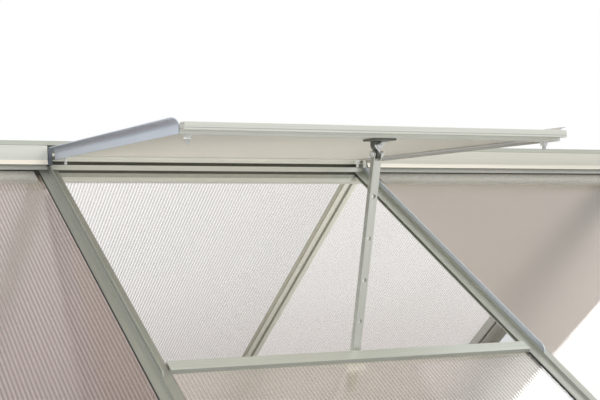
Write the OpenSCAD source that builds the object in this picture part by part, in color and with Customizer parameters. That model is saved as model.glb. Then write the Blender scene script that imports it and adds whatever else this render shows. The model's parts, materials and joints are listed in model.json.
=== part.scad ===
// Greenhouse roof section: two glazed slopes, aluminium bars and a hinged vent held open by a stay.
// Millimetres, +Z up, X along the ridge, the vent on the -Y slope.

/* [Roof] */
// Slope of the roof, degrees
roof_pitch = 32.1; // [28:0.1:36]
// Distance between neighbouring rafters
bay_w = 610; // [560:1:700]
// Half the inside width between the two eave lips
half_span = 955; // [880:1:1100]
// Gap left between pieces that seat on each other
seat_gap = 0.3; // [0.2:0.05:0.5]

/* [Panels] */
// Thickness of the twin-wall panels
panel_t = 6; // [4:0.5:8]
// Side gap between a panel and the rafter webs
panel_side_gap = 2; // [1:0.5:4]

/* [Rafters] */
// Width of the rafter's outer cap
cap_w = 33; // [30:1:40]
// Thickness of the rafter's flanges
flange_t = 1.8; // [1.5:0.1:2.2]
// Width of the rafter's inner flange
inner_flange_w = 28; // [24:1:34]
// Outside width of the rafter's bolt channel
channel_w = 14; // [12:0.5:16]
// Width of the slot into the bolt channel
slot_w = 7; // [6:0.5:8]
// Height of the fin on the rafter cap
fin_h = 4.5; // [3:0.5:6]
// Thickness of the fin
fin_t = 1.6; // [1.2:0.1:2.4]
// Width of the gable rafters' inner face
gable_w = 58; // [50:1:70]
// Depth of the gable rafters' outer leg
gable_leg = 34; // [28:1:45]

/* [Ridge] */
// Half the width of the ridge bar at the rafters
ridge_half_w = 20; // [19:0.5:24]
// Height of the ridge top above the line where the caps would meet
ridge_top = 39; // [36:0.5:44]
// Depth of the ridge bottom below that line
ridge_bottom = 31.5; // [28:0.5:38]
// Wall thickness of the ridge bar
ridge_wall = 2.5; // [2:0.1:3]
// Width of the cap along the ridge top
ridge_cap_w = 18; // [14:1:24]
// Height of the cap's turned-down edges
ridge_cap_edge = 8; // [5:0.5:9]
// Thickness of the web under the ridge cap
ridge_web = 3; // [2:0.5:4]
// How far the ridge's lips reach out over and under the panels
lip_reach = 7; // [6:0.5:9]
// Height of the upper lip
lip_rise = 9; // [7:0.5:11]
// How far the panels enter the ridge
panel_in_ridge = 2; // [1:0.5:4]
// Thickness of the ridge cover strips
cover_t = 2; // [1.5:0.1:2.4]
// Height of the cover's upright face
cover_face_h = 25; // [20:0.5:30]
// Drop of the cover's drip lip
cover_lip_h = 8; // [5:0.5:10]
// How far the drip lip stands out
cover_lip_out = 3; // [2:0.5:5]
// Height of the cover's bend above the underside of the hinge groove
cover_raise = 1; // [0:0.5:3]
// How far the near covers end beyond the middle of the rafters beside the vent
cover_gap = 3.5; // [3:0.5:8]

/* [Vent hinge] */
// Distance of the hinge axis in front of the ridge's centre
hinge_out = 24; // [22:0.5:28]
// Height of the hinge axis above the line where the caps would meet
hinge_up = 8; // [6:0.5:12]
// Radius of the bead along the sash's hinge rail
bead_r = 4; // [3:0.25:4.5]
// Running clearance round the bead
bead_clear = 0.25; // [0.15:0.05:0.4]
// Wall of the hinge groove
groove_wall = 2.75; // [2:0.25:3]
// Free angle on each side of the bead's neck, degrees
mouth_margin = 15; // [14:0.5:18]
// Gap between the hinge groove and the wall of the sash's hinge rail
hinge_gap = 3; // [2.5:0.5:5]
// Distance from the skirts to the ends of the hinge rail
hinge_rail_inset = 8; // [4:1:14]

/* [Vent sash] */
// Slope of the open sash below level, degrees
sash_tilt = 4.2; // [2:0.1:10]
// Length of the sash from the hinge axis to its front
sash_len = 654; // [600:1:680]
// Distance from the middle of a rafter to the inner side of the skirt beside it
sash_gap = 7; // [6.5:0.5:20]
// Wall thickness of the sash rails
sash_wall = 1.9; // [1.5:0.1:2.2]
// Width of the rail flanges that hold the panel
sash_flange = 18; // [12:0.5:24]
// Depth of the hinge rail's under flange
hinge_flange = 22; // [16:0.5:28]
// Depth of the box under the front rail
rail_box_w = 24; // [18:0.5:30]
// Height of the box under the front rail
rail_box_h = 6.5; // [5:0.5:7]
// How far the box is set back behind the front face
rail_setback = 18; // [14:0.5:20]
// Height of the side skirts
skirt_h = 21.5; // [20:0.5:28]
// Sheet thickness of the side skirts
skirt_t = 1.5; // [1:0.1:2]
// How far the skirts hang below the sash plane
skirt_drop = 5.5; // [4:0.5:7]
// Radius of the skirt's top, which is rolled outwards
skirt_roll_r = 11; // [6:0.5:12]
// Width of the ledge under the panel's side
skirt_ledge_w = 14; // [10:0.5:20]
// How far the skirts end behind the front rail's face
skirt_setback = 19; // [14:1:24]
// How far the skirts end in front of the hinge axis
skirt_back = 23; // [22:0.5:30]

/* [Vent opening] */
// How far the sill's upper edge lies inside the front of the closed sash
sill_inset = 27.5; // [24:0.5:32]
// Width of the sill's face
sill_w = 21.7; // [18:0.1:30]
// Height of the sill's face above the rafter caps
sill_rise = 5; // [4:0.5:7]
// Depth of the sill's back web below the rafter caps
sill_web = 14; // [13:0.5:18]
// Metal thickness of the sill
sill_t = 2; // [1.5:0.1:2.5]
// Height of the upstand strip on the left of the vent
left_upstand_h = 9; // [6:0.5:9]
// Height of the upstand strip on the right of the vent
right_upstand_h = 13; // [6:0.5:13]
// Thickness of the upstand strips
upstand_t = 1.5; // [1:0.1:2]
// How far the upstand strips run on below the sill
upstand_past = 12; // [4:1:30]
// Height of the point at the upper end of an upstand strip
upstand_tip = 15; // [14:0.5:15]
// Length of that point
upstand_tip_l = 10; // [6:0.5:10]
// Width of the plate that carries the stay's peg
peg_plate_w = 30; // [24:1:40]
// Depth of the peg below the sill's web
peg_drop = 4; // [3.5:0.5:8]
// Distance from the peg to the plate's lower edge
peg_margin = 8; // [6:0.5:12]
// Length of the peg's stub
peg_len = 2.6; // [2:0.1:3]
// Gap round the peg in the stay's hole
peg_play = 0.5; // [0.3:0.1:0.8]

/* [Stay] */
// Sideways place of the stay
stay_x = 6; // [-20:1:20]
// Distance of the stay's pivot behind the front rail's face
pivot_back = 47; // [42:1:60]
// Depth of the pivot below the sash plane
pivot_drop = 26.6; // [24:0.2:32]
// Distance from the sill's web to the middle of the stay at the peg
stay_to_web = 8.3; // [8:0.1:10]
// Length of the stay below the peg
stay_tail = 34; // [20:1:50]
// Width of the stay's channel
stay_w = 12; // [12:0.5:14]
// Depth of the stay's channel
stay_d = 10; // [9:0.5:11]
// Sheet thickness of the stay
stay_t = 1.5; // [1:0.1:1.6]
// Radius of the holes in the stay
stay_hole_r = 3; // [2:0.25:3.5]
// Distance from the pivot to the first hole
stay_hole_first = 60; // [40:1:70]
// Number of holes in the stay
stay_hole_count = 5; // [3:1:7]
// Radius of the stay's round head
stay_head = 5; // [4.5:0.25:5.5]
// Gap below the lug in the stay's notch
notch_gap = 2; // [1.5:0.5:4]
// Radius of the pivot bolt
bolt_r = 2.5; // [2:0.25:3]
// Running clearance of the pivot bolt in the lug
bolt_clear = 0.1; // [0.05:0.05:0.2]
// Radius of the bolt's head and nut
bolt_head_r = 4.5; // [4:0.25:5.5]
// Height of the bolt's head and nut
bolt_head_h = 3; // [2:0.5:4]
// Thickness of the bracket's lug
lug_t = 5; // [4:0.5:6]
// Radius of the lug's round end
lug_r = 6.5; // [6:0.5:8]
// Length of the bracket plate along the rail
bracket_l = 34; // [28:1:50]
// Thickness of the bracket plate
bracket_t = 3; // [2:0.5:4]
// Width of the bracket's tongue above the stay
tongue_w = 13; // [10:0.5:16]
// Thickness of the tongue
tongue_t = 13; // [8:0.5:14]
// Gap between the tongue and the stay's round head
tongue_gap = 1; // [0.8:0.1:2]
// How far the bracket plate reaches past the lug and stays behind the box
bracket_margin = 2; // [1:0.5:4]

/* [Eaves] */
// Height of the eave rail at its outer side
eave_h = 31; // [20:0.5:45]
// Width of the rafter seat on the eave rail
eave_seat_w = 50; // [40:1:70]
// Width of the foot flange inside the seat
eave_foot_w = 28; // [22:1:40]
// Wall thickness of the eave rail
eave_wall = 2.5; // [2:0.1:4]
// Radius of the bolt holes in the eave feet
eave_hole_r = 3.25; // [2.5:0.25:5.25]
// Distance between the bolt holes of one eave
eave_hole_span = 1220; // [900:10:1400]

/* [Hidden] */
$fn = 48;

// Roof places
panel_drop = flange_t + seat_gap;
panel_low = panel_drop + panel_t;
rafter_depth = panel_low + seat_gap + flange_t;
rafter_x = bay_w / 2;
gable_x = rafter_x + bay_w;
roof_half_len = gable_x + gable_w / 2;
eave_half_len = roof_half_len - flange_t - seat_gap;
apex_z = eave_h + half_span * tan(roof_pitch) + (rafter_depth + seat_gap) / cos(roof_pitch);
slope_len = (half_span - seat_gap + panel_drop * sin(roof_pitch)) / cos(roof_pitch);
panel_half_w = rafter_x - channel_w / 2 - panel_side_gap;
// Overlap of shapes that are joined or cut
lap = 1;

// Ridge places, as heights above the line where the caps would meet
groove_mid_drop = panel_low / cos(roof_pitch) + ridge_half_w * tan(roof_pitch);
groove_low = -groove_mid_drop - seat_gap;
panel_top = (ridge_half_w - panel_in_ridge + panel_drop * sin(roof_pitch)) / cos(roof_pitch);
groove_high = -panel_top * sin(roof_pitch) - panel_drop * cos(roof_pitch) + 2 * seat_gap;
ridge_shoulder = groove_high + lip_rise;
ridge_body_half = ridge_half_w - lip_reach;
ring_r = bead_r + bead_clear + groove_wall;
mouth_from = 180 + sash_tilt - mouth_margin;
mouth_to = 180 + roof_pitch + mouth_margin;

// Sash places, in the sash frame
sash_panel_low = sash_wall / 2 + seat_gap / 2;
sash_panel_high = sash_panel_low + panel_t;
sash_rail_top = sash_panel_high + seat_gap + sash_wall;
hinge_wall_out = ring_r + hinge_gap + sash_wall;
rail_box_low = sash_panel_low - seat_gap - rail_box_h;
rail_inner = sash_len - rail_setback - rail_box_w;
skirt_front = sash_len - skirt_setback;
skirt_in = rafter_x - sash_gap;
cover_end = rafter_x + cover_gap;

// Stay places: the stay runs from its pivot to the peg, whose place is given on the slope
hinge_y = -hinge_out;
hinge_z = apex_z + hinge_up;
hinge_down = hinge_out * cos(roof_pitch) - hinge_up * sin(roof_pitch);
sill_down = hinge_down + sash_len - sill_inset;
pivot_out = sash_len - pivot_back;
pivot_y = hinge_y - pivot_out * cos(sash_tilt) + pivot_drop * sin(sash_tilt);
pivot_z = hinge_z - pivot_out * sin(sash_tilt) - pivot_drop * cos(sash_tilt);
pivot_down = -pivot_y * cos(roof_pitch) - (pivot_z - apex_z) * sin(roof_pitch);
pivot_n = -pivot_y * sin(roof_pitch) + (pivot_z - apex_z) * cos(roof_pitch);
peg_n = -sill_web - peg_drop;
peg_down = sill_down - stay_to_web;
peg_hole = norm([peg_down - pivot_down, pivot_n - peg_n]);
stay_lean = roof_pitch - atan2(peg_down - pivot_down, pivot_n - peg_n);
stay_len = peg_hole + stay_tail;
stay_hole_step = (peg_hole - stay_hole_first) / (stay_hole_count - 1);
stay_notch = lug_r + notch_gap;

// Finishes
mill = "#c3c6bb";
galvanised = "#b4bccb";
dark_steel = "#3d4140";
zinc = "#c9cbc8";
sheet = [0.93, 0.9, 0.85, 0.55];

// Frame with y up the near slope and z out of it, from the line where the caps would meet
module near_slope() translate([0, 0, apex_z]) rotate([roof_pitch, 0, 0]) children();
// The same frame on the other slope
module far_slope() mirror([0, 1, 0]) near_slope() children();
// Frame on the hinge axis with y along the open sash, towards the ridge
module sash_frame() translate([0, hinge_y, hinge_z]) rotate([sash_tilt, 0, 0]) children();
// Frame on the stay's pivot with z up along the stay
module stay_frame() translate([stay_x, pivot_y, pivot_z]) rotate([stay_lean, 0, 0]) children();

// Run a section drawn in x and z down the slope
module down_slope(from, to) translate([0, -from, 0]) rotate([90, 0, 0]) linear_extrude(to - from) children();
// Run a section drawn in y and z along the ridge
module along_ridge(from, to) translate([from, 0, 0]) rotate([90, 0, 90]) linear_extrude(to - from) children();
// Rectangle between two corners
module span(x0, y0, x1, y1) translate([x0, y0]) square([x1 - x0, y1 - y0]);
// Both halves of a section about its upright axis
module both_sides() { children(); mirror([1, 0]) children(); }

// Rafter section: outer cap with a fin, a slotted bolt channel and an inner flange that carries the panels
module rafter_section() {
  span(-cap_w / 2, -flange_t, cap_w / 2, 0);
  span(-fin_t / 2, -flange_t / 2, fin_t / 2, fin_h);
  channel_walls();
  span(-inner_flange_w / 2, -rafter_depth, -slot_w / 2, -rafter_depth + flange_t);
  span(slot_w / 2, -rafter_depth, inner_flange_w / 2, -rafter_depth + flange_t);
}

// Two walls of the bolt channel, from the cap to the inner flange
module channel_walls() {
  for (x = [-channel_w / 2, channel_w / 2 - flange_t])
    span(x, -rafter_depth + flange_t / 2, x + flange_t, -flange_t / 2);
}

// Gable rafter section: a wide inner flange and a leg over the end wall on the outer side
module gable_section() {
  leg_mid = gable_w / 2 - flange_t / 2;
  span(-cap_w / 2, -flange_t, leg_mid, 0);
  span(-fin_t / 2, -flange_t / 2, fin_t / 2, fin_h);
  span(leg_mid - flange_t / 2, -gable_leg, gable_w / 2, 0);
  span(-gable_w / 2, -rafter_depth, -slot_w / 2, -rafter_depth + flange_t);
  span(slot_w / 2, -rafter_depth, leg_mid, -rafter_depth + flange_t);
  channel_walls();
}

// Cut a near-slope bar upright where it meets the ridge bar
module meet_ridge() {
  difference() {
    children();
    translate([-roof_half_len - bay_w, -ridge_half_w - seat_gap, apex_z - bay_w])
      cube([2 * (roof_half_len + bay_w), bay_w, 2 * bay_w]);
  }
}

module rafter_at(x) {
  color(mill) meet_ridge() near_slope() translate([x, 0, 0]) down_slope(0, slope_len) rafter_section();
}

module gable_rafter_at(side) {
  color(mill) meet_ridge() near_slope() mirror([side < 0 ? 1 : 0, 0, 0])
    translate([gable_x, 0, 0]) down_slope(0, slope_len) gable_section();
}

module panel_at(x, from) {
  color(sheet) near_slope() translate([x - panel_half_w, -slope_len, -panel_low])
    cube([2 * panel_half_w, slope_len - from, panel_t]);
}

// Ridge section, drawn in y and z from the line where the caps would meet
module ridge_half() {
  lip_t = ridge_wall;
  difference() {
    span(-ridge_body_half, -ridge_bottom, 0, ridge_shoulder);
    span(-ridge_body_half + ridge_wall, -ridge_bottom + ridge_wall, lap, ridge_shoulder - ridge_wall);
  }
  span(-ridge_half_w, ridge_shoulder - lip_t, -ridge_body_half + lap, ridge_shoulder);
  span(-ridge_half_w, groove_high, -ridge_half_w + lip_t, ridge_shoulder);
  span(-ridge_half_w, -ridge_bottom, -ridge_body_half + lap, -ridge_bottom + lip_t);
  span(-ridge_half_w, -ridge_bottom, -ridge_half_w + lip_t, groove_low);
  span(-ridge_web / 2, ridge_shoulder - lip_t, 0, ridge_top);
  span(-ridge_cap_w / 2, ridge_top - lip_t, 0, ridge_top);
  span(-ridge_cap_w / 2, ridge_top - ridge_cap_edge, -ridge_cap_w / 2 + lip_t, ridge_top);
  span(-hinge_out + bead_r + bead_clear + lap, hinge_up - lip_t / 2, 0, hinge_up + lip_t / 2);
  translate([-hinge_out, hinge_up]) hinge_ring();
}

// Groove that holds the bead of the sash, open over the sash's travel
module hinge_ring() {
  reach = 2 * ring_r;
  mouth_mid = (mouth_from + mouth_to) / 2;
  difference() {
    circle(ring_r);
    circle(bead_r + bead_clear);
    polygon([
      [0, 0],
      [reach * cos(mouth_from), reach * sin(mouth_from)],
      [reach * cos(mouth_mid), reach * sin(mouth_mid)],
      [reach * cos(mouth_to), reach * sin(mouth_to)]
    ]);
  }
}

module ridge_bar() {
  color(mill) translate([0, 0, apex_z]) along_ridge(-roof_half_len, roof_half_len) both_sides() ridge_half();
}

// Cover section: a sloping top tucked under the ridge cap, an upright face and a drip lip
module cover_section() {
  face = -hinge_out - ring_r - seat_gap - cover_t;
  tuck = -ridge_web / 2 - seat_gap;
  tuck_high = ridge_top - ridge_cap_edge - seat_gap;
  face_low = hinge_up - ring_r + cover_raise;
  face_high = face_low + cover_face_h;
  polygon([
    [tuck, tuck_high],
    [-ridge_cap_w / 2, tuck_high],
    [face, face_high],
    [face, face_low],
    [face - cover_lip_out, face_low - cover_lip_h],
    [face - cover_lip_out + cover_t, face_low - cover_lip_h],
    [face + cover_t, face_low],
    [face + cover_t, face_high - cover_t],
    [-ridge_cap_w / 2, tuck_high - cover_t],
    [tuck, tuck_high - cover_t]
  ]);
}

module cover_run(from, to) {
  color(mill) translate([0, 0, apex_z]) along_ridge(from, to) cover_section();
}

module ridge_cover_left() { cover_run(-roof_half_len, -cover_end); }
module ridge_cover_right() { cover_run(cover_end, roof_half_len); }
module ridge_cover_far() { mirror([0, 1, 0]) cover_run(-roof_half_len, roof_half_len); }

module near_rafter_left() { rafter_at(-rafter_x); }
module near_rafter_right() { rafter_at(rafter_x); }
module near_gable_rafter_left() { gable_rafter_at(-1); }
module near_gable_rafter_right() { gable_rafter_at(1); }
module far_rafter_left() { mirror([0, 1, 0]) rafter_at(-rafter_x); }
module far_rafter_right() { mirror([0, 1, 0]) rafter_at(rafter_x); }
module far_gable_rafter_left() { mirror([0, 1, 0]) gable_rafter_at(-1); }
module far_gable_rafter_right() { mirror([0, 1, 0]) gable_rafter_at(1); }

module near_panel_left() { panel_at(-bay_w, panel_top); }
module near_panel_right() { panel_at(bay_w, panel_top); }
module near_panel_lower() { panel_at(0, sill_down + sill_t + seat_gap); }
module far_panel_left() { mirror([0, 1, 0]) panel_at(-bay_w, panel_top); }
module far_panel_middle() { mirror([0, 1, 0]) panel_at(0, panel_top); }
module far_panel_right() { mirror([0, 1, 0]) panel_at(bay_w, panel_top); }

// Sill under the vent, between the two rafter caps: a face, a front lip and a back web
module vent_sill() {
  half_len = rafter_x - cap_w / 2 - seat_gap;
  color(mill) near_slope() along_ridge(-half_len, half_len) {
    span(-sill_down - sill_w, sill_rise - sill_t, -sill_down, sill_rise);
    span(-sill_down - sill_w, -panel_drop + seat_gap, -sill_down - sill_w + sill_t, sill_rise);
    span(-sill_down - sill_t, -sill_web, -sill_down, sill_rise);
  }
}

// Thin strip beside a rafter's fin, with a pointed upper end and a round lower end
module vent_upstand(x, height) {
  low = sill_down + sill_w + upstand_past;
  high = (ridge_half_w + seat_gap) / cos(roof_pitch);
  color(galvanised) near_slope() translate([x + fin_t / 2 + seat_gap, 0, 0])
    rotate([90, 0, 90]) linear_extrude(upstand_t) union() {
      polygon([
        [-low + height, 0],
        [-high, 0],
        [-high, upstand_tip],
        [-high - upstand_tip_l, height],
        [-low + height, height]
      ]);
      intersection() {
        translate([-low + height, 0]) circle(height);
        span(-low, 0, -low + height, height);
      }
    }
}
module vent_upstand_left() { vent_upstand(-rafter_x, left_upstand_h); }
module vent_upstand_right() { vent_upstand(rafter_x, right_upstand_h); }

// Plate below the sill's web with the stub of the peg that the stay's hole drops on
module stay_peg() {
  plate_low = peg_n - peg_margin;
  peg_r = stay_hole_r - peg_play;
  color(zinc) near_slope() translate([stay_x, 0, 0]) {
    translate([-peg_plate_w / 2, -sill_down - sill_t, plate_low])
      cube([peg_plate_w, sill_t, -sill_web - plate_low]);
    translate([0, -sill_down - sill_t / 2, peg_n]) rotate([-90, 0, 0])
      cylinder(r = peg_r, h = peg_len + sill_t / 2);
  }
}

// Eave rail section: a sloping seat for the rafters, a lip that stops the panels and a foot with bolt holes
module eave_section() {
  seat_high = eave_h + eave_seat_w * tan(roof_pitch);
  lip_high = eave_h + (rafter_depth - panel_drop) / cos(roof_pitch);
  seat_drop = eave_wall / cos(roof_pitch);
  inner = -half_span + eave_seat_w;
  hollow_end = inner - eave_wall;
  difference() {
    polygon([
      [-half_span - eave_wall, 0],
      [inner + eave_foot_w, 0],
      [inner + eave_foot_w, eave_wall],
      [inner, eave_wall],
      [inner, seat_high],
      [-half_span, eave_h],
      [-half_span, lip_high],
      [-half_span - eave_wall, lip_high]
    ]);
    polygon([
      [-half_span, eave_wall],
      [hollow_end, eave_wall],
      [hollow_end, seat_high - seat_drop - eave_wall * tan(roof_pitch)],
      [-half_span, eave_h - seat_drop]
    ]);
  }
}

module near_eave_rail() {
  hole_y = -half_span + eave_seat_w + eave_foot_w / 2;
  color(mill) difference() {
    along_ridge(-eave_half_len, eave_half_len) eave_section();
    for (x = [-eave_hole_span / 2, eave_hole_span / 2])
      translate([x, hole_y, -eave_wall]) cylinder(r = eave_hole_r, h = 3 * eave_wall);
  }
}
module far_eave_rail() { mirror([0, 1, 0]) near_eave_rail(); }

// Hinge rail of the sash: a bead on a neck, an upright wall and two flanges that hold the panel
module sash_hinge_rail() {
  wall_in = hinge_wall_out - sash_wall;
  low = sash_panel_low - seat_gap - sash_wall;
  color(mill) sash_frame() along_ridge(-skirt_in + hinge_rail_inset, skirt_in - hinge_rail_inset) {
    circle(bead_r);
    span(-wall_in - sash_wall, low, 0, low + sash_wall);
    span(-hinge_wall_out, -skirt_drop, -wall_in, sash_rail_top);
    span(-hinge_wall_out - hinge_flange, low, -wall_in, low + sash_wall);
    span(-hinge_wall_out - sash_flange, sash_rail_top - sash_wall, -wall_in, sash_rail_top);
  }
}

// Front rail of the sash: a front wall, a top flange over the panel and a hollow box set back under it
module sash_front_rail() {
  box_back = -rail_inner;
  box_front = -rail_inner - rail_box_w;
  box_high = sash_panel_low - seat_gap;
  color(mill) sash_frame() along_ridge(-skirt_in + seat_gap, skirt_in - seat_gap) {
    span(-sash_len, box_high - sash_wall, -sash_len + sash_wall, sash_rail_top);
    span(-sash_len, sash_rail_top - sash_wall, -sash_len + sash_flange, sash_rail_top);
    span(-sash_len, box_high - sash_wall, box_front + sash_wall, box_high);
    difference() {
      span(box_front, rail_box_low, box_back, box_high);
      span(box_front + sash_wall, rail_box_low + sash_wall, box_back - sash_wall, box_high - sash_wall);
    }
  }
}

// Skirt section: an upright sheet whose top is rolled outwards, drawn in x and z
module skirt_wall() {
  roll_low = skirt_h - skirt_drop - skirt_roll_r;
  out = skirt_in + skirt_t;
  span(skirt_in, -skirt_drop, out, roll_low);
  intersection() {
    translate([skirt_in + skirt_roll_r, roll_low]) difference() {
      circle(skirt_roll_r);
      circle(skirt_roll_r - skirt_t);
    }
    span(skirt_in, roll_low, skirt_in + skirt_roll_r, roll_low + skirt_roll_r);
  }
}

module skirt(side) {
  ledge_high = sash_panel_low - seat_gap;
  color(galvanised) sash_frame() mirror([side < 0 ? 1 : 0, 0, 0]) {
    down_slope(skirt_back, skirt_front) skirt_wall();
    translate([skirt_in - skirt_ledge_w, -rail_inner + lap, ledge_high - skirt_t])
      cube([skirt_ledge_w + skirt_t / 2, rail_inner - hinge_wall_out - hinge_flange - 2 * lap, skirt_t]);
  }
}
module sash_left_skirt() { skirt(-1); }
module sash_right_skirt() { skirt(1); }

module sash_panel() {
  back = hinge_wall_out + seat_gap;
  front = sash_len - sash_wall - seat_gap;
  color(sheet) sash_frame() translate([-skirt_in + seat_gap, -front, sash_panel_low])
    cube([2 * (skirt_in - seat_gap), front - back, panel_t]);
}

// Bracket under the front rail: a plate, a round-ended tongue and a thinner lug for the stay's bolt
module stay_bracket() {
  plate_high = rail_box_low;
  plate_front = sash_len - rail_setback - bracket_margin;
  plate_back = pivot_out - lug_r - bracket_margin;
  tongue_low = -pivot_drop + stay_head + tongue_gap;
  tongue_r = tongue_w / 2;
  color(dark_steel) sash_frame() translate([stay_x, 0, 0]) {
    translate([-bracket_l / 2, -plate_front, plate_high - bracket_t])
      cube([bracket_l, plate_front - plate_back, bracket_t]);
    down_slope(pivot_out - tongue_t / 2, pivot_out + tongue_t / 2) union() {
      span(-tongue_r, tongue_low + tongue_r, tongue_r, plate_high - bracket_t / 2);
      translate([0, tongue_low + tongue_r]) circle(tongue_r);
    }
    translate([-lug_t / 2, 0, 0]) rotate([90, 0, 90]) linear_extrude(lug_t) difference() {
      union() {
        translate([-pivot_out, -pivot_drop]) circle(lug_r);
        span(-pivot_out - lug_r, -pivot_drop, -pivot_out + lug_r, plate_high - bracket_t / 2);
      }
      translate([-pivot_out, -pivot_drop]) circle(bolt_r + bolt_clear);
    }
  }
}

// Stay: a folded channel with a row of holes, its front cut back round the lug
module stay_bar() {
  color(mill) stay_frame() difference() {
    union() {
      translate([-stay_w / 2, -stay_d / 2, -stay_len]) cube([stay_w, stay_d, stay_len]);
      intersection() {
        translate([-stay_w / 2, -stay_d / 2, 0]) cube([stay_w, stay_d, stay_head]);
        rotate([0, 90, 0]) cylinder(r = stay_head, h = stay_w, center = true);
      }
    }
    translate([-stay_w / 2 + stay_t, -stay_d / 2 + stay_t, -stay_len - lap])
      cube([stay_w - 2 * stay_t, stay_d, stay_len + stay_head + 2 * lap]);
    translate([-stay_w / 2 + stay_t, -stay_d, -stay_notch])
      cube([stay_w - 2 * stay_t, stay_d, stay_notch + stay_head + lap]);
    for (k = [0 : stay_hole_count - 1])
      translate([0, -stay_d / 2, -stay_hole_first - k * stay_hole_step])
        rotate([90, 0, 0]) cylinder(r = stay_hole_r, h = 4 * stay_t, center = true);
    rotate([0, 90, 0]) cylinder(r = bolt_r + bolt_clear, h = 2 * stay_w, center = true);
  }
}

// Pivot bolt with its head on the left and a nut on the right
module stay_bolt() {
  shank = stay_w + 2 * seat_gap;
  color(zinc) stay_frame() {
    rotate([0, 90, 0]) cylinder(r = bolt_r, h = shank + bolt_head_h, center = true);
    translate([-shank / 2 - bolt_head_h, 0, 0]) rotate([0, 90, 0])
      cylinder(r = bolt_head_r, h = bolt_head_h);
    translate([shank / 2, 0, 0]) rotate([0, 90, 0])
      cylinder(r = bolt_head_r, h = bolt_head_h, $fn = 6);
  }
}

ridge_bar();
ridge_cover_left();
ridge_cover_right();
ridge_cover_far();
near_rafter_left();
near_rafter_right();
near_gable_rafter_left();
near_gable_rafter_right();
far_rafter_left();
far_rafter_right();
far_gable_rafter_left();
far_gable_rafter_right();
near_panel_left();
near_panel_right();
near_panel_lower();
far_panel_left();
far_panel_middle();
far_panel_right();
vent_sill();
vent_upstand_left();
vent_upstand_right();
stay_peg();
near_eave_rail();
far_eave_rail();
sash_hinge_rail();
sash_front_rail();
sash_left_skirt();
sash_right_skirt();
sash_panel();
stay_bracket();
stay_bar();
stay_bolt();
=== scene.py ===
"""Looks of a greenhouse roof section with a hinged vent: finishes, sheets, seals, bolts and light."""
import json
import math

import bmesh
import bpy
from mathutils import Matrix, Vector


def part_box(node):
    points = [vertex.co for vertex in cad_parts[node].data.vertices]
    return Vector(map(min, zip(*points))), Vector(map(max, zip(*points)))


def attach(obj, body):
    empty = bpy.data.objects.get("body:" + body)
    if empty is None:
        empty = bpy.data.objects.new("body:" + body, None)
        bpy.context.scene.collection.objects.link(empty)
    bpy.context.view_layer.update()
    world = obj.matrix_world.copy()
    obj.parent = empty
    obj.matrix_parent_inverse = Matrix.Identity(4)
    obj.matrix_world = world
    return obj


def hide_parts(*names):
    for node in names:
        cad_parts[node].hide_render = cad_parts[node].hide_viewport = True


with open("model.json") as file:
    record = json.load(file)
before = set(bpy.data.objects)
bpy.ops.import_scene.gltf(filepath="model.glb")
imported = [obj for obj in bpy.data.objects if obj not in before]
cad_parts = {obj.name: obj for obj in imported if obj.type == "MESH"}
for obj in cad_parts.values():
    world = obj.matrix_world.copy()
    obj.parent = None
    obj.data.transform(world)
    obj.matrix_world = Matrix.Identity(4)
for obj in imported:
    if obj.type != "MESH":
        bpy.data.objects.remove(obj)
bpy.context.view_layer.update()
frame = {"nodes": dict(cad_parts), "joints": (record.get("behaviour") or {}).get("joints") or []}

MM = 0.001
SIDES = ((-1, "left"), (1, "right"))

# Driving places of the roof, in metres and radians
ROOF_PITCH = math.radians(32.1)
SASH_TILT = math.radians(4.2)
STAY_LEAN = math.radians(-71)
RIDGE_TOP_RISE = 39 * MM
APEX_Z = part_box("ridge_bar")[1].z - RIDGE_TOP_RISE
RAFTER_X = 305 * MM
CAP_HALF_W = 16.5 * MM
CAP_T = 1.8 * MM
PANEL_DROP = 2.1 * MM
SILL_DOWN = 642.6 * MM
SILL_W = 21.7 * MM

# Hinge and stay pivot of the vent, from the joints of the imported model
JOINTS = {joint["name"]: joint for joint in frame["joints"]}
HINGE = Vector(JOINTS["vent_hinge"]["pos_m"])
PIVOT = Vector(JOINTS["stay_pivot"]["pos_m"])

# Frames of the ridge, the near slope and the open sash: x along the ridge, y up the slope, z outwards
RIDGE = Matrix.Translation((0, 0, APEX_Z))
NEAR_SLOPE = RIDGE @ Matrix.Rotation(ROOF_PITCH, 4, "X")
SASH = Matrix.Translation(HINGE) @ Matrix.Rotation(SASH_TILT, 4, "X")


# Mesh helpers
SHARP_ANGLE = math.radians(35)
MERGE_DIST = 0.001 * MM


def add_piece(name, bm, body, slot, *materials):
    """Make an object of a finished bmesh, already in the part's frame, that rides on a body."""
    mesh = bpy.data.meshes.new(name)
    bm.to_mesh(mesh)
    bm.free()
    for material in materials:
        mesh.materials.append(material)
    piece = bpy.data.objects.new(name, mesh)
    bpy.context.scene.collection.objects.link(piece)
    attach(piece, body)
    return piece


def smooth_faces(piece):
    """Shade a piece smooth, with its sharper edges kept crisp."""
    for polygon in piece.data.polygons:
        polygon.use_smooth = True
    piece.data.set_sharp_from_angle(angle=SHARP_ANGLE)


def add_bar(bm, low, high, place, soften=0.0):
    """Add a rectangular bar between two corners of a frame, with its edges softened."""
    size = Vector(high) - Vector(low)
    middle = (Vector(high) + Vector(low)) / 2
    shape = Matrix.Translation(middle) @ Matrix.Diagonal(size.to_4d())
    made = bmesh.ops.create_cube(bm, size=1, matrix=place @ shape)
    if soften:
        corners = set(made["verts"])
        edges = [edge for edge in bm.edges if edge.verts[0] in corners]
        bmesh.ops.bevel(
            bm, geom=edges, offset=soften, segments=2, profile=0.5, affect="EDGES", material=-1
        )


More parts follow.
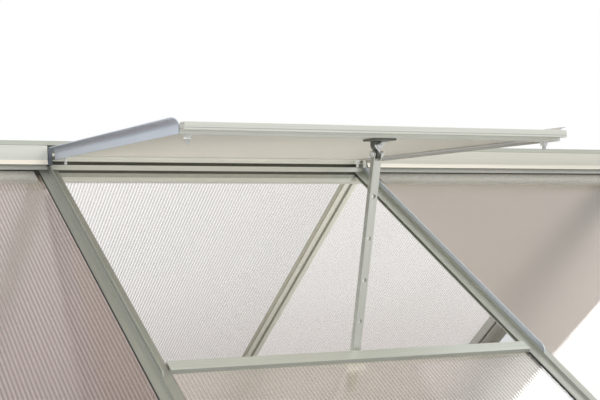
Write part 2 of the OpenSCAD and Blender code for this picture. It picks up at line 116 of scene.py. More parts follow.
def add_turned(bm, outline, place, steps):
    """Turn an outline of radius and height points, in millimetres, about the z axis of a frame."""
    before = set(bm.verts)
    verts = [bm.verts.new((radius * MM, 0, height * MM)) for radius, height in outline]
    edges = [bm.edges.new(pair) for pair in zip(verts, verts[1:])]
    bmesh.ops.spin(
        bm, geom=verts + edges, cent=(0, 0, 0), axis=(0, 0, 1),
        angle=2 * math.pi, steps=steps, use_merge=True,
    )
    turned = [vert for vert in bm.verts if vert not in before]
    bmesh.ops.remove_doubles(bm, verts=turned, dist=MERGE_DIST)
    turned = [vert for vert in bm.verts if vert not in before]
    faces = [face for face in bm.faces if face.verts[0] not in before]
    bmesh.ops.recalc_face_normals(bm, faces=faces)
    bmesh.ops.transform(bm, matrix=place, verts=turned)


# Shader helpers
MIX_SHARE, MIX_LOW, MIX_HIGH, MIX_RESULT = 0, 6, 7, 2


def set_inputs(tree, node, inputs):
    """Set the inputs of a node, and link those that are given as sockets."""
    for key, value in inputs.items():
        if isinstance(value, bpy.types.NodeSocket):
            tree.links.new(value, node.inputs[key])
        else:
            node.inputs[key].default_value = value


def add_node(tree, kind, inputs=None, **settings):
    """Add a node, set its properties, and set or link its inputs."""
    node = tree.nodes.new(kind)
    for key, value in settings.items():
        setattr(node, key, value)
    set_inputs(tree, node, inputs or {})
    return node


def object_place(tree):
    """The point of the surface, in the part's frame."""
    return add_node(tree, "ShaderNodeTexCoord").outputs["Object"]


def stretch(tree, vector, scale):
    """A vector with its axes stretched."""
    return add_node(tree, "ShaderNodeMapping", {"Vector": vector, "Scale": scale}).outputs["Vector"]


def cloudy(tree, vector, scale, detail):
    """Cloudy noise over a vector."""
    noise = add_node(tree, "ShaderNodeTexNoise", {"Vector": vector, "Scale": scale, "Detail": detail})
    return noise.outputs["Fac"]


def two_tone(tree, value, low, high, start=0.0, end=1.0):
    """Blend two colours while a value goes from a start to an end."""
    ramp = add_node(tree, "ShaderNodeValToRGB", {"Fac": value})
    first, last = ramp.color_ramp.elements
    first.position = start
    last.position = end
    first.color = (*low, 1)
    last.color = (*high, 1)
    return ramp.outputs["Color"]


def mix_colours(tree, share, low, high):
    """Mix two colours by a share."""
    inputs = {MIX_SHARE: share, MIX_LOW: low, MIX_HIGH: high}
    return add_node(tree, "ShaderNodeMix", inputs, data_type="RGBA").outputs[MIX_RESULT]


def eased_height(tree, place, start, end, top=1.0):
    """A value that eases from nothing at one height to its top at another."""
    height = add_node(tree, "ShaderNodeSeparateXYZ", {"Vector": place}).outputs["Z"]
    inputs = {"Value": height, "From Min": start, "From Max": end, "To Max": top}
    return add_node(tree, "ShaderNodeMapRange", inputs, interpolation_type="SMOOTHSTEP").outputs[0]


def new_material(name):
    """Start a material and return it with its node tree and its Principled shader."""
    material = bpy.data.materials.new(name)
    material.use_nodes = True
    tree = material.node_tree
    return material, tree, tree.nodes["Principled BSDF"]


def new_group(name, inputs, outputs):
    """Start a shader node group with float, colour or vector sockets."""
    group = bpy.data.node_groups.new(name, "ShaderNodeTree")
    for label, kind, value in inputs:
        socket = group.interface.new_socket(label, in_out="INPUT", socket_type=kind)
        if value is not None:
            socket.default_value = value
    for label, kind in outputs:
        group.interface.new_socket(label, in_out="OUTPUT", socket_type=kind)
    return group, group.nodes.new("NodeGroupInput"), group.nodes.new("NodeGroupOutput")


# Drawn metal: draw marks across and along the pull, and oxide clouds longer than wide
MARKS_ACROSS = 900.0
MARKS_ALONG = 6.0
MARK_DEPTH = 0.4 * MM
MARK_STRENGTH = 0.12
CLOUD_SCALE = (0.06, 0.012, 0.06)


def drawn_metal_group():
    """Long draw marks of rolled and extruded metal, with cloudy patches of dull oxide."""
    group, given, out = new_group(
        "drawn_metal",
        [
            ("Vector", "NodeSocketVector", None),
            ("Light", "NodeSocketColor", (0.6, 0.6, 0.6, 1)),
            ("Dull", "NodeSocketColor", (0.4, 0.4, 0.4, 1)),
            ("Smooth", "NodeSocketFloat", 0.3),
            ("Rough", "NodeSocketFloat", 0.5),
        ],
        [("Color", "NodeSocketColor"), ("Roughness", "NodeSocketFloat"), ("Height", "NodeSocketFloat")],
    )
    vector = given.outputs["Vector"]
    marks = cloudy(group, vector, scale=1.0, detail=5.0)
    clouds = cloudy(group, stretch(group, vector, CLOUD_SCALE), scale=1.0, detail=4.0)
    both = add_node(group, "ShaderNodeMath", {0: marks, 1: clouds}, operation="ADD").outputs[0]
    spread = add_node(
        group, "ShaderNodeMapRange", {"Value": both, "From Min": 0.75, "From Max": 1.25}
    ).outputs[0]
    rough = add_node(
        group, "ShaderNodeMapRange",
        {"Value": spread, "To Min": given.outputs["Rough"], "To Max": given.outputs["Smooth"]},
    ).outputs[0]
    colour = mix_colours(group, spread, given.outputs["Dull"], given.outputs["Light"])
    set_inputs(group, out, {"Color": colour, "Roughness": rough, "Height": marks})
    return group


DRAWN_METAL = drawn_metal_group()


def drawn_metal(name, light, dull, smooth, rough, metallic, slope=None):
    """A metal whose draw marks run along the ridge, or up a slope of the given angle."""
    material, tree, shader = new_material(name)
    turned = add_node(
        tree, "ShaderNodeMapping", {"Vector": object_place(tree), "Rotation": (-(slope or 0.0), 0, 0)}
    )
    if slope is None:
        scale = (MARKS_ALONG, MARKS_ACROSS, MARKS_ACROSS)
    else:
        scale = (MARKS_ACROSS, MARKS_ALONG, MARKS_ACROSS)
    marks = add_node(
        tree, "ShaderNodeGroup",
        {
            "Vector": stretch(tree, turned.outputs["Vector"], scale),
            "Light": (*light, 1),
            "Dull": (*dull, 1),
            "Smooth": smooth,
            "Rough": rough,
        },
        node_tree=DRAWN_METAL,
    )
    raised = add_node(
        tree, "ShaderNodeBump",
        {"Height": marks.outputs["Height"], "Strength": MARK_STRENGTH, "Distance": MARK_DEPTH},
    )
    set_inputs(
        tree, shader,
        {
            "Base Color": marks.outputs["Color"],
            "Roughness": marks.outputs["Roughness"],
            "Normal": raised.outputs["Normal"],
            "Metallic": metallic,
        },
    )
    return material


# Mill aluminium along the ridge: pale, darker on the cap, warm, with painted light on the drip lip and
# painted shade on the inner wall
MILL_LIGHT = (0.78, 0.785, 0.72)
MILL_DULL = (0.66, 0.67, 0.61)
MILL_RIDGE = drawn_metal(
    "mill_aluminium_ridge", MILL_LIGHT, MILL_DULL, smooth=0.32, rough=0.46, metallic=0.55
)
MILL_CAP = drawn_metal(
    "mill_aluminium_cap", (0.56, 0.58, 0.52), (0.47, 0.49, 0.43), smooth=0.36, rough=0.5, metallic=0.6
)
MILL_WARM = drawn_metal(
    "mill_aluminium_warm", (0.73, 0.71, 0.63), (0.62, 0.60, 0.53), smooth=0.32, rough=0.46, metallic=0.5
)
MILL_SILL = drawn_metal(
    "mill_aluminium_sill", (0.73, 0.755, 0.69), (0.61, 0.635, 0.57), smooth=0.32, rough=0.46, metallic=0.5
)
WALL_SHADED = drawn_metal(
    "ridge_wall_shaded", (0.29, 0.29, 0.25), (0.22, 0.22, 0.19), smooth=0.45, rough=0.6, metallic=0.3
)
HINGE_PALE = drawn_metal(
    "mill_aluminium_hinge", (0.81, 0.81, 0.745), (0.70, 0.70, 0.645), smooth=0.34, rough=0.48, metallic=0.3
)
LIP_PAINTED_LIGHT = drawn_metal(
    "lip_painted_light", (0.97, 0.92, 0.80), (0.88, 0.82, 0.70), smooth=0.34, rough=0.48, metallic=0.25
)

# Mill aluminium up the slopes and along the stay, in copies painted darker or lighter for the light each
# gets: darker on the near left rafter and the far gables, lighter on the far rafters
MILL_NEAR = drawn_metal(
    "mill_aluminium_near", (0.59, 0.60, 0.54), (0.48, 0.495, 0.44),
    smooth=0.34, rough=0.48, metallic=0.6, slope=ROOF_PITCH,
)
MILL_SHADED = drawn_metal(
    "mill_aluminium_shaded", (0.48, 0.485, 0.43), (0.40, 0.405, 0.355),
    smooth=0.36, rough=0.5, metallic=0.5, slope=ROOF_PITCH,
)
MILL_FAR = drawn_metal(
    "mill_aluminium_far", (0.70, 0.70, 0.63), (0.58, 0.585, 0.52),
    smooth=0.34, rough=0.48, metallic=0.25, slope=-ROOF_PITCH,
)
MILL_GABLE = drawn_metal(
    "mill_aluminium_gable", (0.52, 0.515, 0.465), (0.42, 0.42, 0.375),
    smooth=0.34, rough=0.48, metallic=0.3, slope=-ROOF_PITCH,
)
STAY_METAL = drawn_metal(
    "mill_aluminium_stay", MILL_LIGHT, MILL_DULL, smooth=0.34, rough=0.48, metallic=0.55, slope=STAY_LEAN
)

# Galvanised sheet of the skirts and of the right upstand, with painted shade on the left skirt's top and
# the right skirt's inner side
ZINC_LIGHT = (0.70, 0.75, 0.83)
ZINC_DULL = (0.61, 0.66, 0.74)
GALVANISED = drawn_metal(
    "galvanised_sheet", ZINC_LIGHT, ZINC_DULL, smooth=0.36, rough=0.5, metallic=0.55, slope=SASH_TILT
)
GALVANISED_NEAR = drawn_metal(
    "galvanised_strip", ZINC_LIGHT, ZINC_DULL, smooth=0.36, rough=0.5, metallic=0.55, slope=ROOF_PITCH
)
SKIRT_TOP_SHADE = drawn_metal(
    "galvanised_top_shade", (0.46, 0.455, 0.46), (0.40, 0.395, 0.40),
    smooth=0.38, rough=0.5, metallic=0.55, slope=SASH_TILT,
)
SKIRT_INSIDE = drawn_metal(
    "skirt_inside", (0.64, 0.62, 0.56), (0.53, 0.51, 0.46),
    smooth=0.4, rough=0.5, metallic=0.4, slope=SASH_TILT,
)

# Dark steel of the bracket, painted shade for dark ends, and zinc of the fasteners and their threads
DARK_STEEL = drawn_metal(
    "dark_steel", (0.17, 0.18, 0.155), (0.125, 0.13, 0.115), smooth=0.4, rough=0.55, metallic=0.5
)
END_SHADE = drawn_metal(
    "painted_end_shade", (0.17, 0.19, 0.22), (0.11, 0.125, 0.15), smooth=0.5, rough=0.6, metallic=0.3
)
ZINC = drawn_metal(
    "zinc_plate", (0.93, 0.94, 0.93), (0.80, 0.81, 0.80), smooth=0.24, rough=0.38, metallic=0.5
)
THREAD = drawn_metal(
    "thread", (0.88, 0.89, 0.88), (0.72, 0.73, 0.72), smooth=0.4, rough=0.5, metallic=0.4
)


# Plastic of the twin-wall sheets: faint haze, gloss of the outer skin, and a warm tint low on the far slope
HAZE_SCALE = (6, 2.5, 2.5)
HAZE_TINT = 0.985
GLOSS_ROUGHNESS = 0.02
WARM_BELOW = 310 * MM
CLEAR_ABOVE = 480 * MM


def twin_wall_material(name, tint, gloss=0.0, clear=1.0, bend=1.08, blur=0.3, low_tint=None):
    """Milky clear plastic, faintly hazy, with an optional glossy skin, milkier body or lower tint."""
    material, tree, shader = new_material(name)
    place = object_place(tree)
    haze = cloudy(tree, stretch(tree, place, HAZE_SCALE), scale=1.0, detail=3.0)
    hazy_tint = [HAZE_TINT * part for part in tint]
    colour = two_tone(tree, haze, hazy_tint, tint, start=0.3, end=0.75)
    if low_tint:
        rise = eased_height(tree, place, WARM_BELOW, CLEAR_ABOVE)
        colour = mix_colours(tree, rise, (*low_tint, 1), colour)
    set_inputs(
        tree, shader,
        {
            "Base Color": colour,
            "Roughness": blur,
            "IOR": bend,
            "Transmission Weight": clear,
            "Coat Weight": gloss,
            "Coat Roughness": GLOSS_ROUGHNESS,
        },
    )
    return material


# Near sheets: the body, its glossy outer skin, and the skin's shade beside each rib
# The same plastic on each near sheet: its tint is darkened as painted shade, most on the left sheet and
# least on the lower one
LEFT_TINT = (0.86, 0.79, 0.77)
RIGHT_TINT = (0.94, 0.885, 0.835)
LOWER_TINT = (0.99, 0.965, 0.94)
SHEET_LEFT = twin_wall_material("twin_wall_left", LEFT_TINT, bend=1.16, blur=0.2)
SHEET_LEFT_SKIN = twin_wall_material("twin_wall_left_skin", LEFT_TINT, gloss=1.0, bend=1.16, blur=0.2)
SHEET_RIGHT = twin_wall_material("twin_wall_right", RIGHT_TINT)
SHEET_RIGHT_SKIN = twin_wall_material("twin_wall_right_skin", RIGHT_TINT, gloss=1.0)
SHEET_RIGHT_SHADE = twin_wall_material("twin_wall_right_shade", (0.80, 0.755, 0.71), gloss=1.0)
SHEET_LOWER = twin_wall_material("twin_wall_lower", LOWER_TINT, bend=1.13, blur=0.2)
SHEET_LOWER_SKIN = twin_wall_material("twin_wall_lower_skin", LOWER_TINT, gloss=1.0, blur=0.2)
SHEET_LOWER_SHADE = twin_wall_material(
    "twin_wall_lower_shade", (0.77, 0.75, 0.73), gloss=1.0, blur=0.2
)

# Far sheets with painted shade along one edge, and the milkier sheet of the sash
SHEET_FAR = twin_wall_material(
    "twin_wall_far", (0.998, 0.99, 0.98), bend=1.15, blur=0.18, low_tint=(0.998, 0.972, 0.962)
)
SHEET_EDGE_SHADE = twin_wall_material("twin_wall_edge_shade", (0.45, 0.435, 0.37), clear=0.1)
SHEET_SASH = twin_wall_material("twin_wall_sash", (0.97, 0.95, 0.88), clear=0.4)

# Ribs between the skins: their tint draws the rib lines, and differs from sheet to sheet as painted shade
SHEET_RIB = twin_wall_material("twin_wall_rib", (0.76, 0.745, 0.72), bend=1.2, blur=0.2)
SHEET_RIB_PALE = twin_wall_material("twin_wall_rib_pale", (0.83, 0.815, 0.79), bend=1.2, blur=0.2)
SHEET_RIB_CLEAR = twin_wall_material("twin_wall_rib_clear", (0.93, 0.92, 0.905), bend=1.13, blur=0.18)
SHEET_RIB_FAR = twin_wall_material("twin_wall_rib_far", (0.83, 0.82, 0.80), bend=1.15, blur=0.18)


def rubber_and_shade_material():
    """Black glazing rubber, dulled with fine dust, and the same black as painted shade."""
    material, tree, shader = new_material("black_rubber_and_shade")
    specks = cloudy(tree, object_place(tree), scale=60.0, detail=4.0)
    colour = two_tone(tree, specks, (0.012, 0.013, 0.012), (0.05, 0.052, 0.048))
    set_inputs(tree, shader, {"Base Color": colour, "Roughness": 0.75})
    return material


# Strip of dust below the ridge covers, down the slope
DUST_FROM = 25.5 * MM
DUST_FULL = 50 * MM
DUST_TO = 88 * MM
DUST_T = 0.1 * MM
DUST_COVER = 0.92


def dust_material():
    """Pale mottled dust that thins out down the near slope below the ridge."""
    material, tree, shader = new_material("ridge_dust")
    place = object_place(tree)
    spots = cloudy(tree, place, scale=160.0, detail=5.0)
    colour = two_tone(tree, spots, (0.52, 0.50, 0.44), (0.65, 0.63, 0.565), start=0.3, end=0.62)
    low = APEX_Z - DUST_TO * math.sin(ROOF_PITCH)
    high = APEX_Z - DUST_FULL * math.sin(ROOF_PITCH)
    cover = eased_height(tree, place, low, high, top=DUST_COVER)
    set_inputs(tree, shader, {"Base Color": colour, "Alpha": cover, "Roughness": 0.7})
    return material


RUBBER_AND_SHADE = rubber_and_shade_material()
DUST = dust_material()


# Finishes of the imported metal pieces
FINISHES = {
    MILL_RIDGE: [
        "ridge_bar", "ridge_cover_left", "ridge_cover_far",
        "near_eave_rail", "far_eave_rail", "sash_front_rail",
    ],
    HINGE_PALE: ["sash_hinge_rail"],
    MILL_WARM: ["ridge_cover_right"],
    MILL_NEAR: [
        "near_rafter_right", "near_gable_rafter_left", "near_gable_rafter_right", "vent_upstand_left",
    ],
    MILL_SHADED: ["near_rafter_left"],
    MILL_GABLE: ["far_gable_rafter_left", "far_gable_rafter_right"],
    MILL_SILL: ["vent_sill"],
    MILL_FAR: ["far_rafter_left", "far_rafter_right"],
    GALVANISED: ["sash_left_skirt", "sash_right_skirt"],
    GALVANISED_NEAR: ["vent_upstand_right"],
    DARK_STEEL: ["stay_bracket"],
    ZINC: ["stay_bolt", "stay_peg"],
    STAY_METAL: ["stay_bar"],
}
for finish, names in FINISHES.items():
    for name in names:
        node = frame["nodes"][name]
        node.data.materials.clear()
        node.data.materials.append(finish)


# Second finishes on some faces of the imported metal, most of them painted light and shade
CAP_EDGE = 8.5 * MM
CAP_FROM = APEX_Z + RIDGE_TOP_RISE - CAP_EDGE
RIDGE_BODY_Y = -16 * MM
LIP_FROM = APEX_Z + 4 * MM
TONGUE_TOP = -14 * MM
TONGUE_LOW = -24 * MM
INTO_SASH = SASH.inverted()
# Least shares of a face's normal that count as facing a way
FRONT_FACING = 0.5
LEFT_FACING = 0.9
SKIRT_LEFT_FACING = 0.3
SKIRT_UP_FACING = 0.6


def paint_faces(name, finish, chosen):
    """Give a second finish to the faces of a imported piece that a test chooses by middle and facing."""
    mesh = frame["nodes"][name].data
    mesh.materials.append(finish)
    for polygon in mesh.polygons:
        if chosen(polygon.center, polygon.normal):
            polygon.material_index = len(mesh.materials) - 1


def on_cap(middle, facing):
    """Darker top of the ridge's cap."""
    return middle.z > CAP_FROM


def on_ridge_wall(middle, facing):
    """Shaded inner wall along the ridge."""
    return RIDGE_BODY_Y < middle.y < 0 and middle.z < CAP_FROM and facing.y < -FRONT_FACING


def on_drip_lip(middle, facing):
    """Front faces of the left ridge cover's drip lip, in painted light."""
    return middle.z < LIP_FROM and facing.y < -FRONT_FACING


def on_skirt_inside(middle, facing):
    """Shaded inner side of the right skirt."""
    return facing.x < -SKIRT_LEFT_FACING


def on_skirt_top(middle, facing):
    """Up-facing top of the left skirt, in painted shade."""
    return facing.z > SKIRT_UP_FACING


def on_left_side(middle, facing):
    """Left end of a rail, or left side of the stay, both given painted shade."""
    return facing.x < -LEFT_FACING


def on_tongue_front(middle, facing):
    """Front of the bracket's tongue, in painted light against its dark sides."""
    return TONGUE_LOW < (INTO_SASH @ middle).z < TONGUE_TOP and facing.y < -FRONT_FACING


paint_faces("ridge_bar", MILL_CAP, on_cap)
paint_faces("ridge_bar", WALL_SHADED, on_ridge_wall)
# Painted light on the front of the left cover's drip lip
paint_faces("ridge_cover_left", LIP_PAINTED_LIGHT, on_drip_lip)
paint_faces("sash_right_skirt", SKIRT_INSIDE, on_skirt_inside)
# Painted shade on the top of the left skirt
paint_faces("sash_left_skirt", SKIRT_TOP_SHADE, on_skirt_top)
# Painted shade on the left end of the hinge rail
paint_faces("sash_hinge_rail", END_SHADE, on_left_side)
# Painted shade on the left side of the stay
paint_faces("stay_bar", MILL_NEAR, on_left_side)
# Painted light on the front of the bracket's tongue
paint_faces("stay_bracket", ZINC, on_tongue_front)


# Twin-wall sheets: two skins and the ribs between them
RIB_PITCH = 6 * MM
RIB_T = 0.35 * MM
SKIN_T = 0.45 * MM
# Sag of the outer skin between two ribs
SKIN_SAG = 0.035 * MM
# Strip of painted shade inside a far sheet, beside its bar
EDGE_W = 13 * MM
# Each cell has a rib and two halves, and the sheet has two skins with a gap between
CELL_COLUMNS = 3
SHEET_LEVELS = 3
# Least share of a face's normal that makes it a side of a rib
RIB_FACING = 0.9
# Material slots of a sheet after its body
SKIN_SLOT, RIB_SLOT, SHADE_SLOT, EDGE_SLOT = 1, 2, 3, 4


def sheet_size(low, high, tilt):
    """Length down the slope and thickness of a tilted flat sheet, from its upright box."""
    depth, height = high.y - low.y, high.z - low.z
    tilt = abs(tilt)
    share = math.cos(2 * tilt)
    length = (depth * math.cos(tilt) - height * math.sin(tilt)) / share
    thickness = (height * math.cos(tilt) - depth * math.sin(tilt)) / share
    return length, thickness


def ribbed_sheet(width, length, thickness):
    """Draw a sheet's end with its ribs and draw it out to length, level about the origin."""
    cells = round(width / RIB_PITCH)
    step = (width - RIB_T) / cells
    columns = CELL_COLUMNS * cells + 1
    levels = (0, SKIN_T, thickness - SKIN_T, thickness)
    bm = bmesh.new()
    bmesh.ops.create_grid(bm, x_segments=columns, y_segments=SHEET_LEVELS, size=0.5)
    for vert in bm.verts:
        column = round((vert.co.x + 0.5) * columns)
        level = round((vert.co.y + 0.5) * SHEET_LEVELS)
        rib, part = divmod(column, CELL_COLUMNS)
        across = rib * step + (0, RIB_T, (step + RIB_T) / 2)[part]
        sag = SKIN_SAG if part == 2 and level == SHEET_LEVELS else 0
        vert.co = (across - width / 2, -length / 2, levels[level] - thickness / 2 - sag)
    hollow = []
    for face in bm.faces:
        face_width = max(vert.co.x for vert in face.verts) - min(vert.co.x for vert in face.verts)
        if abs(face.calc_center_median().z) < thickness / 4 and face_width > 2 * RIB_T:
            hollow.append(face)
    bmesh.ops.delete(bm, geom=hollow, context="FACES")
    made = bmesh.ops.extrude_face_region(bm, geom=bm.faces[:])
    moved = [item for item in made["geom"] if isinstance(item, bmesh.types.BMVert)]
    bmesh.ops.translate(bm, vec=(0, length, 0), verts=moved)
    bmesh.ops.recalc_face_normals(bm, faces=bm.faces[:])
    return bm, step


def twin_wall(node, body, tilt, sheet, skin, ribs, shade=None, edge=None):
    """Two skins joined by thin ribs that run down the slope, in place of a plain sheet."""
    low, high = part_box(node)
    width = high.x - low.x
    length, thickness = sheet_size(low, high, tilt)
    bm, step = ribbed_sheet(width, length, thickness)
    skin_from = thickness / 2 - SKIN_T / 3
    for face in bm.faces:
        middle = face.calc_center_median()
        if middle.z > skin_from:
            beside_rib = (middle.x + width / 2) % step > (step + RIB_T) / 2
            face.material_index = SHADE_SLOT if beside_rib else SKIN_SLOT
        elif abs(face.normal.x) > RIB_FACING:
            face.material_index = RIB_SLOT
        # Painted shade on the inner skin beside the bar
        elif edge and middle.z < -skin_from and middle.x > width / 2 - EDGE_W:
            face.material_index = EDGE_SLOT
    place = Matrix.Translation((low + high) / 2) @ Matrix.Rotation(tilt, 4, "X")
    bmesh.ops.transform(bm, matrix=place, verts=bm.verts[:])
    materials = (sheet, skin, ribs, shade or skin, edge or sheet)
    piece = add_piece(node + "_twin_wall", bm, body, "twin_wall_sheet", *materials)
    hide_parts(node)
    return piece


near_sheets = [
    twin_wall("near_panel_left", "roof", ROOF_PITCH, SHEET_LEFT, SHEET_LEFT_SKIN, SHEET_RIB),
    twin_wall(
        "near_panel_right", "roof", ROOF_PITCH,
        SHEET_RIGHT, SHEET_RIGHT_SKIN, SHEET_RIB_PALE, shade=SHEET_RIGHT_SHADE,
    ),
    twin_wall(
        "near_panel_lower", "roof", ROOF_PITCH,
        SHEET_LOWER, SHEET_LOWER_SKIN, SHEET_RIB_CLEAR, shade=SHEET_LOWER_SHADE,
    ),
]
for label, ribs in (("left", SHEET_RIB_FAR), ("middle", SHEET_RIB_FAR), ("right", SHEET_RIB_CLEAR)):
    twin_wall("far_panel_" + label, "roof", -ROOF_PITCH, SHEET_FAR, SHEET_FAR, ribs, edge=SHEET_EDGE_SHADE)
twin_wall("sash_panel", "sash", SASH_TILT, SHEET_SASH, SHEET_SASH, SHEET_SASH)


# Black seals along the edges of the near caps, and black strips of painted shade under the caps beside the
# vent
STRIP_W = 1.4 * MM
SEAL_RISE = 0.9 * MM
STRIP_SOFTEN = 0.2 * MM
RIDGE_DOWN = 26 * MM
EAVE_DOWN = 1120 * MM
VENT_LOW = SILL_DOWN - 1 * MM
PANEL_FROM = SILL_DOWN + SILL_W + 1 * MM


def add_dark_strip(name, edge_x, outward, start, end, on_panel):
    """A thin black strip beside a cap's edge, either a seal lying on the panel or painted shade tucked
    under the cap.
    """
    if on_panel:
        near, far = edge_x, edge_x + outward * STRIP_W
        top, bottom = -PANEL_DROP + SEAL_RISE, -PANEL_DROP
    else:
        near, far = edge_x - outward * 2 * STRIP_W, edge_x
        top, bottom = -CAP_T, -CAP_T - STRIP_W
    bm = bmesh.new()
    add_bar(
        bm, (min(near, far), -end, bottom), (max(near, far), -start, top), NEAR_SLOPE, STRIP_SOFTEN
    )
    add_piece(name, bm, "roof", None, RUBBER_AND_SHADE)


for side, label in SIDES:
    outer_edge = side * (RAFTER_X + CAP_HALF_W)
    inner_edge = side * (RAFTER_X - CAP_HALF_W)
    add_dark_strip("seal_outer_" + label, outer_edge, side, RIDGE_DOWN, EAVE_DOWN, on_panel=True)
    # Painted shade: a black strip under the cap's inner edge where the vent has no panel
    add_dark_strip("vent_shade_strip_" + label, inner_edge, -side, RIDGE_DOWN, VENT_LOW, on_panel=False)
    add_dark_strip("seal_lower_" + label, inner_edge, -side, PANEL_FROM, EAVE_DOWN, on_panel=True)


# Dust on the near sheets, below the ridge covers
def add_dust(label):
    """A thin strip of dust across the top of a near sheet."""
    low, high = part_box("near_panel_" + label)
    near, far = low.x + CAP_HALF_W, high.x - CAP_HALF_W
    bm = bmesh.new()
    add_bar(bm, (near, -DUST_TO, -PANEL_DROP), (far, -DUST_FROM, -PANEL_DROP + DUST_T), NEAR_SLOPE)
    add_piece("ridge_dust_" + label, bm, "roof", None, DUST)


for label in ("left", "right"):
    add_dust(label)


# Bolts that hang from the sash: places in its frame, and outlines of radius and height in millimetres
BOLT_X = 281 * MM
FRONT_BOLT = (-620 * MM, -5.7 * MM)
HINGE_BOLT = (-23 * MM, -1.1 * MM)
WASHER = [(0, 0), (6.6, 0), (6.6, 1.0), (6.3, 1.2), (0, 1.2)]
NUT = [(0, 1.2), (5.4, 1.2), (5.7, 1.6), (5.7, 5.5), (5.2, 6.0), (0, 6.0)]
NUT_END = 6.0
THREAD_R = 3.0
THREAD_CORE_R = 2.5
THREAD_PITCH = 1.0
THREAD_TURNS = 6
THREAD_START = 6.1
THREAD_TIP = [(2.4, 12.0), (2.0, 12.3), (0, 12.3)]


def thread_outline():
    """Crests and roots of the bolt's end below its nut."""
    outline = [(0, NUT_END), (THREAD_CORE_R, NUT_END)]
    for turn in range(THREAD_TURNS):
        crest = THREAD_START + THREAD_PITCH * turn
        outline += [(THREAD_R, crest), (THREAD_CORE_R, crest + THREAD_PITCH / 2)]
    return outline + THREAD_TIP


def hanging_bolt(name, x, y, high):
    """A washer, a six-sided nut and a threaded end below a rail of the sash."""
    place = SASH @ Matrix.Translation((x, y, high)) @ Matrix.Rotation(math.pi, 4, "X")
    bm = bmesh.new()
    add_turned(bm, WASHER, place, steps=28)
    add_turned(bm, NUT, place, steps=6)
    plain_faces = len(bm.faces)
    add_turned(bm, thread_outline(), place, steps=20)
    bm.faces.ensure_lookup_table()
    for face in bm.faces[plain_faces:]:
        face.material_index = 1
    smooth_faces(add_piece(name, bm, "sash", "zinc_fastener", ZINC, THREAD))


for side, label in SIDES:
    hanging_bolt("front_bolt_" + label, side * BOLT_X, *FRONT_BOLT)
    hanging_bolt("hinge_bolt_" + label, side * BOLT_X, *HINGE_BOLT)


# Wing screw on the front of the bracket's tongue
SCREW_PLACE = (PIVOT.x + 1.5 * MM, -613.5 * MM, -15.5 * MM)
SCREW_HEAD = [(0, 0), (4.4, 0), (4.6, 0.5), (4.4, 1.6), (3.6, 2.5), (2.2, 3.1), (0, 3.3)]
WING_LEAN = math.radians(45)
WING_LOW = Vector((1, -3, 1)) * MM
WING_HIGH = Vector((9.5, 3, 2.6)) * MM
WING_SOFTEN = 0.7 * MM


def wing_screw():
    """A domed screw head with one broad wing that leans to the right."""
    front = SASH @ Matrix.Translation(SCREW_PLACE) @ Matrix.Rotation(math.pi / 2, 4, "X")
    bm = bmesh.new()
    add_turned(bm, SCREW_HEAD, front, steps=28)
    add_bar(bm, WING_LOW, WING_HIGH, front @ Matrix.Rotation(WING_LEAN, 4, "Z"), WING_SOFTEN)
    smooth_faces(add_piece("bracket_wing_screw", bm, "sash", "zinc_fastener", ZINC))


wing_screw()


# Stops at the ends of the hinge groove, the left one dark with painted shade
STOP_LOW = Vector((300, -33, -7)) * MM
STOP_HIGH = Vector((307.5, -13, 24)) * MM
STOP_SOFTEN = 0.8 * MM
STOP_FINISHES = {"left": END_SHADE, "right": MILL_NEAR}
for side, label in SIDES:
    start, end = sorted((side * STOP_LOW.x, side * STOP_HIGH.x))
    bm = bmesh.new()
    add_bar(
        bm, (start, STOP_LOW.y, STOP_LOW.z), (end, STOP_HIGH.y, STOP_HIGH.z), RIDGE, STOP_SOFTEN
    )
    add_piece("hinge_stop_" + label, bm, "roof", None, STOP_FINISHES[label])


# Strips of painted shade: one widens the shadow in the ridge's groove, one stands for the shade in a
# shallow groove along the front rail
GROOVE_LINE_X = 287 * MM
GROOVE_LOW = Vector((0, -20.3, -25.5)) * MM
GROOVE_HIGH = Vector((0, -19.9, -18.5)) * MM
RAIL_LINE_X = 297 * MM
RAIL_LOW = Vector((0, -654.1, 1.5)) * MM
RAIL_HIGH = Vector((0, -653.8, 2.3)) * MM


def add_line(name, body, half_len, low, high, place):
    """A thin raised strip along a bar, in painted shade."""
    reach = Vector((half_len, 0, 0))
    bm = bmesh.new()
    add_bar(bm, low - reach, high + reach, place)
    add_piece(name, bm, body, "mill_aluminium", MILL_SHADED)


add_line("groove_shade_line", "roof", GROOVE_LINE_X, GROOVE_LOW, GROOVE_HIGH, RIDGE)
add_line("rail_groove_shade", "sash", RAIL_LINE_X, RAIL_LOW, RAIL_HIGH, SASH)


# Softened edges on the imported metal
WELD_DIST = 0.01 * MM
EDGE_SOFTEN = 0.25 * MM
EDGE_ANGLE = math.radians(40)
for names in FINISHES.values():
    for name in names:
        node = frame["nodes"][name]
        merged = node.modifiers.new("merge", "WELD")
        merged.merge_threshold = WELD_DIST
        softened = node.modifiers.new("soften", "BEVEL")
        softened.width = EDGE_SOFTEN
        softened.segments = 2
        softened.limit_method = "ANGLE"
        softened.angle_limit = EDGE_ANGLE


# Stage: pale floor, soft light and the photograph's camera, in metres
FLOOR_HALF = 120
FLOOR_COLOUR = (0.86, 0.86, 0.85, 1)
SOFT_LIGHT = 0.8
WHITE_LIGHT = 1.0
LENS_MM = 80.95
SENSOR_MM = 36
CAMERA_PLACE = (-0.89762, -2.28367, 0.34827)
CAMERA_FORWARD = (0.42483, 0.90054, 0.09063)
CAMERA_DOWN = (-0.00270, 0.10132, -0.99490)
LIGHT_BOUNCES = 28


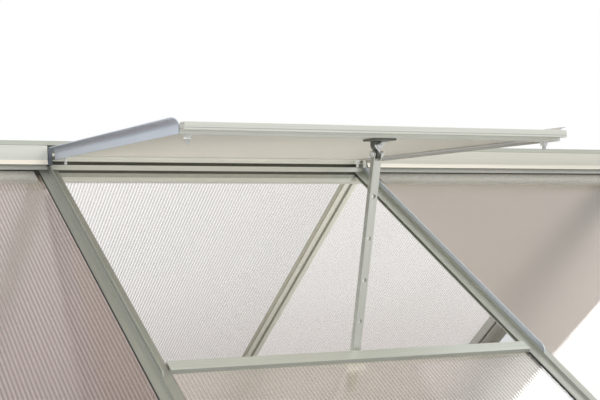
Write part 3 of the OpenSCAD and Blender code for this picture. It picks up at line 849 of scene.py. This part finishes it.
def add_floor():
    """A wide pale floor that keeps the shadow."""
    bm = bmesh.new()
    bmesh.ops.create_grid(bm, x_segments=1, y_segments=1, size=FLOOR_HALF)
    mesh = bpy.data.meshes.new("floor")
    bm.to_mesh(mesh)
    bm.free()
    floor = bpy.data.objects.new("floor", mesh)
    bpy.context.scene.collection.objects.link(floor)
    material, tree, shader = new_material("pale_floor")
    set_inputs(tree, shader, {"Base Color": FLOOR_COLOUR, "Roughness": 0.9})
    mesh.materials.append(material)


def add_world():
    """White where the camera, metal or plastic looks at it, and a softer light for the rest."""
    world = bpy.data.worlds.new("studio")
    bpy.context.scene.world = world
    world.use_nodes = True
    tree = world.node_tree
    tree.nodes.clear()
    rays = add_node(tree, "ShaderNodeLightPath").outputs
    seen = rays["Is Camera Ray"]
    for ray in ("Is Glossy Ray", "Is Transmission Ray"):
        seen = add_node(tree, "ShaderNodeMath", {0: seen, 1: rays[ray]}, operation="MAXIMUM").outputs[0]
    soft = add_node(
        tree, "ShaderNodeBackground", {"Color": (0.97, 0.98, 1.0, 1), "Strength": SOFT_LIGHT}
    )
    white = add_node(tree, "ShaderNodeBackground", {"Color": (1, 1, 1, 1), "Strength": WHITE_LIGHT})
    mixed = add_node(tree, "ShaderNodeMixShader", {0: seen, 1: soft.outputs[0], 2: white.outputs[0]})
    add_node(tree, "ShaderNodeOutputWorld", {"Surface": mixed.outputs[0]})


def add_lamp(name, place, target, size, power, colour, along=(0, 0, 1)):
    """A large soft lamp that looks at a target, with its long side along a direction."""
    data = bpy.data.lights.new(name, "AREA")
    data.shape = "RECTANGLE"
    data.size, data.size_y = size
    data.energy = power
    data.color = colour
    lamp = bpy.data.objects.new(name, data)
    away = (Vector(place) - Vector(target)).normalized()
    side = (Vector(along) - away * away.dot(Vector(along))).normalized()
    turn = Matrix((side, away.cross(side), away)).transposed().to_4x4()
    lamp.matrix_world = Matrix.Translation(place) @ turn
    lamp.visible_transmission = False
    bpy.context.scene.collection.objects.link(lamp)
    return lamp


def add_camera():
    """The photograph's camera: below the ridge, to the left of the vent, looking slightly up."""
    data = bpy.data.cameras.new("photo_camera")
    data.sensor_width = SENSOR_MM
    data.lens = LENS_MM
    forward = Vector(CAMERA_FORWARD).normalized()
    right = Vector(CAMERA_DOWN).cross(forward).normalized()
    up = right.cross(forward)
    turn = Matrix((right, up, -forward)).transposed().to_4x4()
    camera = bpy.data.objects.new("photo_camera", data)
    camera.matrix_world = Matrix.Translation(CAMERA_PLACE) @ turn
    bpy.context.scene.collection.objects.link(camera)
    bpy.context.scene.camera = camera


add_floor()
add_world()
add_lamp(
    "key_lamp", place=(2.0, -3.2, 3.3), target=(0, -0.2, 0.5),
    size=(2.5, 2.5), power=38, colour=(1.0, 0.96, 0.88),
)
add_lamp(
    "cool_lamp", place=(-3.6, -0.6, 2.2), target=(0, -0.2, 0.5),
    size=(2.5, 2.5), power=20, colour=(0.9, 0.94, 1.0),
)
add_lamp(
    "ground_lamp", place=(0, -0.3, 0.03), target=(0, -0.3, 1),
    size=(1.6, 1.2), power=5.8, colour=(1.0, 0.97, 0.9), along=(1, 0, 0),
)
# Bright strip that only the near sheets mirror
glare = add_lamp(
    "glare_lamp", place=(2.827, 0.559, 3.226), target=(0.346, -0.56, 0.289),
    size=(2.4, 0.5), power=21, colour=(1, 1, 1), along=(0.813, 0.554, -0.18),
)
glare.light_linking.receiver_collection = bpy.data.collections.new("mirroring_sheets")
for sheet in near_sheets:
    glare.light_linking.receiver_collection.objects.link(sheet)
add_camera()

scene = bpy.context.scene
scene.view_settings.view_transform = "Standard"
scene.cycles.max_bounces = LIGHT_BOUNCES
scene.cycles.transmission_bounces = LIGHT_BOUNCES
